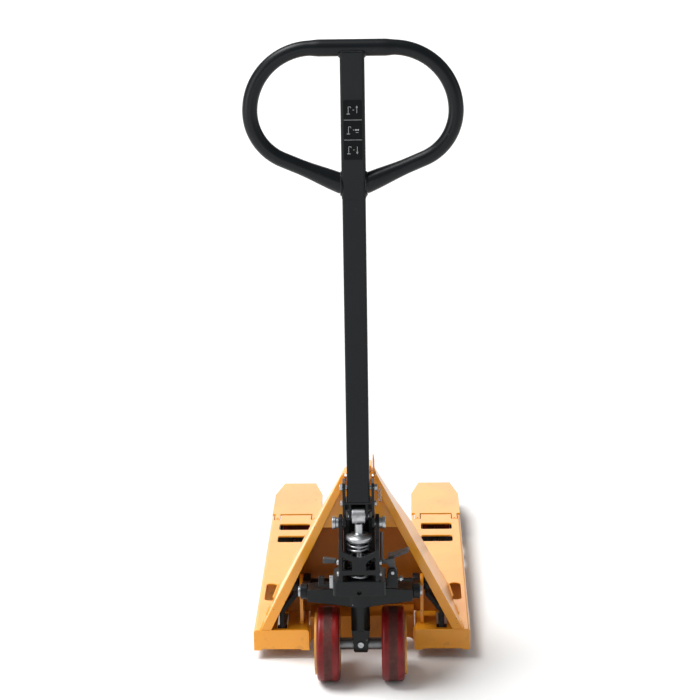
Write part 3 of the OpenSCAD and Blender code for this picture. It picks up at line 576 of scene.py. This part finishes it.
def circlips():
    """Retaining rings on the axle, outside both hubs."""
    bm = bmesh.new()
    hub = sum(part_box("right_rim"), Vector()) / 2
    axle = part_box("wheel_axle")
    r = (axle[1].z - axle[0].z) / 2
    thick = 0.6 * MM
    outline = [(r - 0.0004, -thick), (r + 0.0040, -thick), (r + 0.0044, 0.0),
               (r + 0.0040, thick), (r - 0.0004, thick)]
    for s in (-1, 1):
        x = s * (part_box("right_wheel_bearings")[1].x + 0.0008)
        lathe(bm, outline, (x, hub.y, hub.z), (1, 0, 0), steps=48)
    piece("axle_circlips", bm, DARK_STEEL, "pump")


circlips()

# --------------------------------------------------------------------- drawbar

refined("handle_shaft", SHAFT_BLACK, 0.5 * MM, segments=2)
refined("handle_yoke", BLACK, 1.0 * MM, segments=3)
refined("handle_bolts", STEEL, 0.6 * MM)
refined("finger_lever", BLACK, 1.0 * MM, segments=3)
refined("cam_pin", STEEL, 0.6 * MM)
refined("cam_roller", TURNED, 0.8 * MM)
refined("handle_label", GLOSS_FILM, 0.0)
recoat("retaining_chain", STEEL)
recoat("control_rod", STEEL)

LOOP_LOW, LOOP_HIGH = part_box("handle_loop")
TUBE = 16.7 * MM
GRIP = 18.6 * MM
ARM_END = 22.2 * MM
UPPER_BEND = 137 * MM
LOWER_BEND = 114 * MM
ARM_SLOPE = math.radians(23)
BEND_Z = LOOP_HIGH.z - GRIP - UPPER_BEND
HEAD_SIDE = 26.5 * MM


def loop():
    """The bent tube of the loop, thicker along the grip bar and where the arms meet the shaft."""
    y = (LOOP_LOW.y + LOOP_HIGH.y) / 2
    edge = LOOP_HIGH.x - TUBE
    bar_end = edge - UPPER_BEND
    half = [(i / 12 * bar_end, LOOP_HIGH.z - GRIP) for i in range(13)]
    for i in range(1, 33):
        a = math.pi / 2 * (1 - i / 32)
        half.append((bar_end + UPPER_BEND * math.cos(a), BEND_Z + UPPER_BEND * math.sin(a)))
    for i in range(1, 27):
        a = (ARM_SLOPE - math.pi / 2) * i / 26
        half.append((edge - LOWER_BEND * (1 - math.cos(a)), BEND_Z + LOWER_BEND * math.sin(a)))
    end_x, end_z = half[-1]
    reach = (end_x - HEAD_SIDE + 0.003) / math.cos(ARM_SLOPE)
    for i in range(1, 17):
        d = reach * i / 16
        half.append((end_x - d * math.cos(ARM_SLOPE), end_z - d * math.sin(ARM_SLOPE)))
    path = [(-x, y, z) for x, z in reversed(half[1:])] + [(x, y, z) for x, z in half]
    total = len(path) - 1
    fade = 16 * MM
    flare = 95 * MM

    def thick(t):
        x, _, z = path[round(t * total)]
        off_bar = (abs(x) - bar_end + 12 * MM) / fade
        on_bar = 0.0 if z < BEND_Z else 1 - min(max(off_bar, 0.0), 1.0)
        on_arm = z < BEND_Z - 0.06
        along = min(max((flare + HEAD_SIDE - abs(x)) / flare, 0.0), 1.0) if on_arm else 0.0
        smooth = along * along * (3 - 2 * along)
        return TUBE + (GRIP - TUBE) * on_bar + (ARM_END - TUBE) * smooth

    bm = bmesh.new()
    sweep(bm, path, thick, sides=32)
    obj = piece("loop_tube", bm, SHAFT_BLACK, "drawbar", sharp=60)
    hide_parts("handle_loop")


def loop_welds():
    """Beads round the two arms and along the grip bar where they meet the head tube."""
    bm = bmesh.new()
    y = (LOOP_LOW.y + LOOP_HIGH.y) / 2
    arm_x = LOOP_HIGH.x - TUBE - LOWER_BEND * (1 - math.sin(ARM_SLOPE))
    drop = (arm_x - HEAD_SIDE) * math.tan(ARM_SLOPE)
    arm_z = BEND_Z - LOWER_BEND * math.cos(ARM_SLOPE) - drop

    def rippled(size, waves):
        return lambda t: size * (1 + 0.12 * abs(math.sin(t * waves)))

    for s in (-1, 1):
        centre = Vector((s * (HEAD_SIDE + 0.0004), y, arm_z))
        points = []
        for i in range(97):
            a = 2 * math.pi * i / 96
            out = (ARM_END - 0.0002) * (1.0 + 0.012 * math.sin(a * 22))
            points.append(centre + Vector((s * 0.0004 * math.sin(a * 7), math.cos(a) * out,
                                           math.sin(a) * out / math.cos(ARM_SLOPE))))
        sweep(bm, points, rippled(0.0030, 75), sides=10)
    bar_z = LOOP_HIGH.z - GRIP
    front = y - 0.0182
    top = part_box("handle_shaft")[1].z + 0.0002
    weld(bm, (-0.0250, front, top), (0.0250, front, top))
    out = GRIP + 0.0004
    for s in (-1, 1):
        arc = []
        for i in range(41):
            a = math.radians(-64 + 128 * i / 40)
            arc.append((s * (HEAD_SIDE + 0.0002), y + out * math.sin(a), bar_z - out * math.cos(a)))
        sweep(bm, arc, rippled(0.0026, 30), sides=10)
    piece("loop_welds", bm, SHAFT_BLACK, "drawbar", sharp=60)


def icons():
    """Three plain pictograms on the head tube: raise, neutral and lower, with thin dividers."""
    low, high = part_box("handle_label")
    front = low.y - 0.00012
    third = (high.z - low.z) / 3
    bm = bmesh.new()

    def plate(points):
        verts = [bm.verts.new((x, front, z)) for x, z in points]
        face = bm.faces.new(verts)
        moved = bmesh.ops.extrude_face_region(bm, geom=[face])["geom"]
        inside = [v for v in moved if isinstance(v, bmesh.types.BMVert)]
        bmesh.ops.translate(bm, verts=inside, vec=(0, 0.0001, 0))

    def bar(x0, z0, x1, z1):
        plate([(x0, z0), (x1, z0), (x1, z1), (x0, z1)])

    line = 0.45 * MM
    for k in (1, 2):
        mid = low.z + third * k
        bar(low.x + 0.0006, mid - line * 0.8, high.x - 0.0006, mid + line * 0.8)
    for k, turn in ((0, -1), (1, 0), (2, 1)):
        mid = low.z + third * (k + 0.5)
        bar(-0.0100, mid - 0.0080, -0.0100 + 2 * line, mid + 0.0075)
        bar(-0.0100, mid + 0.0066, -0.0040, mid + 0.0075)
        bar(-0.0048, mid + 0.0040, -0.0040, mid + 0.0075)
        bar(-0.0130, mid - 0.0092, -0.0060, mid - 0.0080)
        bar(0.0000, mid - line, 0.0032, mid + line)
        if turn:
            bar(0.0090 - line, mid - 0.0070, 0.0090 + line, mid + 0.0070)
            plate([(0.0066, mid + turn * 0.0046), (0.0114, mid + turn * 0.0046),
                   (0.0090, mid + turn * 0.0094)])
        else:
            for x, z in ((0.0066, 0.0), (0.0114, 0.0)):
                plate([(x + 0.0018 * math.cos(2 * math.pi * i / 20),
                        mid + z + 0.0018 * math.sin(2 * math.pi * i / 20)) for i in range(20)])
            bar(0.0060, mid - 0.0060, 0.0120, mid - 0.0060 + 2 * line)
    piece("label_icons", bm, ICON, "drawbar")


loop()
loop_welds()
icons()

# --------------------------------------------------------------- camera, light

def studio():
    """Pale floor, a wide overhead light, four soft boxes and a dim sky."""
    bm = bmesh.new()
    steps = 32
    rings = []
    for radius in (3.0, 9.0, 27.0, 80.0):
        turns = [2 * math.pi * i / steps for i in range(steps)]
        rings.append([bm.verts.new((radius * math.cos(a), radius * math.sin(a), 0.0))
                      for a in turns])
    bm.faces.new(rings[0])
    for a, b in zip(rings, rings[1:]):
        for i in range(steps):
            bm.faces.new((a[i], b[i], b[(i + 1) % steps], a[(i + 1) % steps]))
    mesh = bpy.data.meshes.new("studio_floor")
    bm.to_mesh(mesh)
    bm.free()
    mesh.materials.append(floor_material())
    floor = bpy.data.objects.new("studio_floor", mesh)
    bpy.context.scene.collection.objects.link(floor)

    def soft_box(name, place, target, size, power):
        light = bpy.data.lights.new(name, "AREA")
        light.shape = "RECTANGLE"
        light.size, light.size_y = size
        light.energy = power
        obj = bpy.data.objects.new(name, light)
        obj.location = place
        aim = Vector(target) - Vector(place)
        obj.rotation_euler = aim.to_track_quat("-Z", "Y").to_euler()
        bpy.context.scene.collection.objects.link(obj)

    middle = (0.0, 0.0, 0.5)
    sun = bpy.data.lights.new("overhead_sheet", "SUN")
    sun.energy = 3.5
    sun.angle = math.radians(34)
    sky = bpy.data.objects.new("overhead_sheet", sun)
    sky.rotation_euler = (math.radians(1), math.radians(-27), 0.0)
    bpy.context.scene.collection.objects.link(sky)
    soft_box("left_box", (-3.0, -2.2, 1.9), middle, (1.6, 2.6), 44.0)
    soft_box("right_box", (3.2, -1.4, 1.8), middle, (0.7, 2.4), 10.0)
    soft_box("front_box", (-0.5, -4.6, 1.1), (0.0, -0.5, 0.4), (0.5, 0.5), 7.0)
    soft_box("far_panel", (-3.0, 18.5, 5.2), (0.0, 0.0, 0.0), (18.0, 7.5), 660.0)
    world = bpy.data.worlds.new("studio")
    world.use_nodes = True
    background = world.node_tree.nodes["Background"]
    background.inputs["Color"].default_value = (0.96, 0.98, 1.0, 1.0)
    background.inputs["Strength"].default_value = 0.25
    bpy.context.scene.world = world


def camera():
    """Long lens at the operator's eye height, tipped down, almost square to the truck."""
    pitch, yaw, roll = (math.radians(a) for a in (15.15, 1.37, 0.88))
    forward = Vector((-math.sin(yaw) * math.cos(pitch), math.cos(yaw) * math.cos(pitch),
                      -math.sin(pitch)))
    level = forward.cross(Vector((0, 0, 1))).normalized()
    above = level.cross(forward)
    right = math.cos(roll) * level - math.sin(roll) * above
    up = math.sin(roll) * level + math.cos(roll) * above
    data = bpy.data.cameras.new("camera")
    data.lens = 107.84
    data.sensor_width = 36.0
    data.clip_end = 60.0
    obj = bpy.data.objects.new("camera", data)
    turn = Matrix((right, up, -forward)).transposed()
    place = Vector((0.0938, HEEL_Y - 4.6729, 2.0349))
    obj.matrix_world = Matrix.Translation(place) @ turn.to_4x4()
    bpy.context.scene.collection.objects.link(obj)
    bpy.context.scene.camera = obj


studio()
camera()
bpy.context.scene.view_settings.view_transform = "Standard"
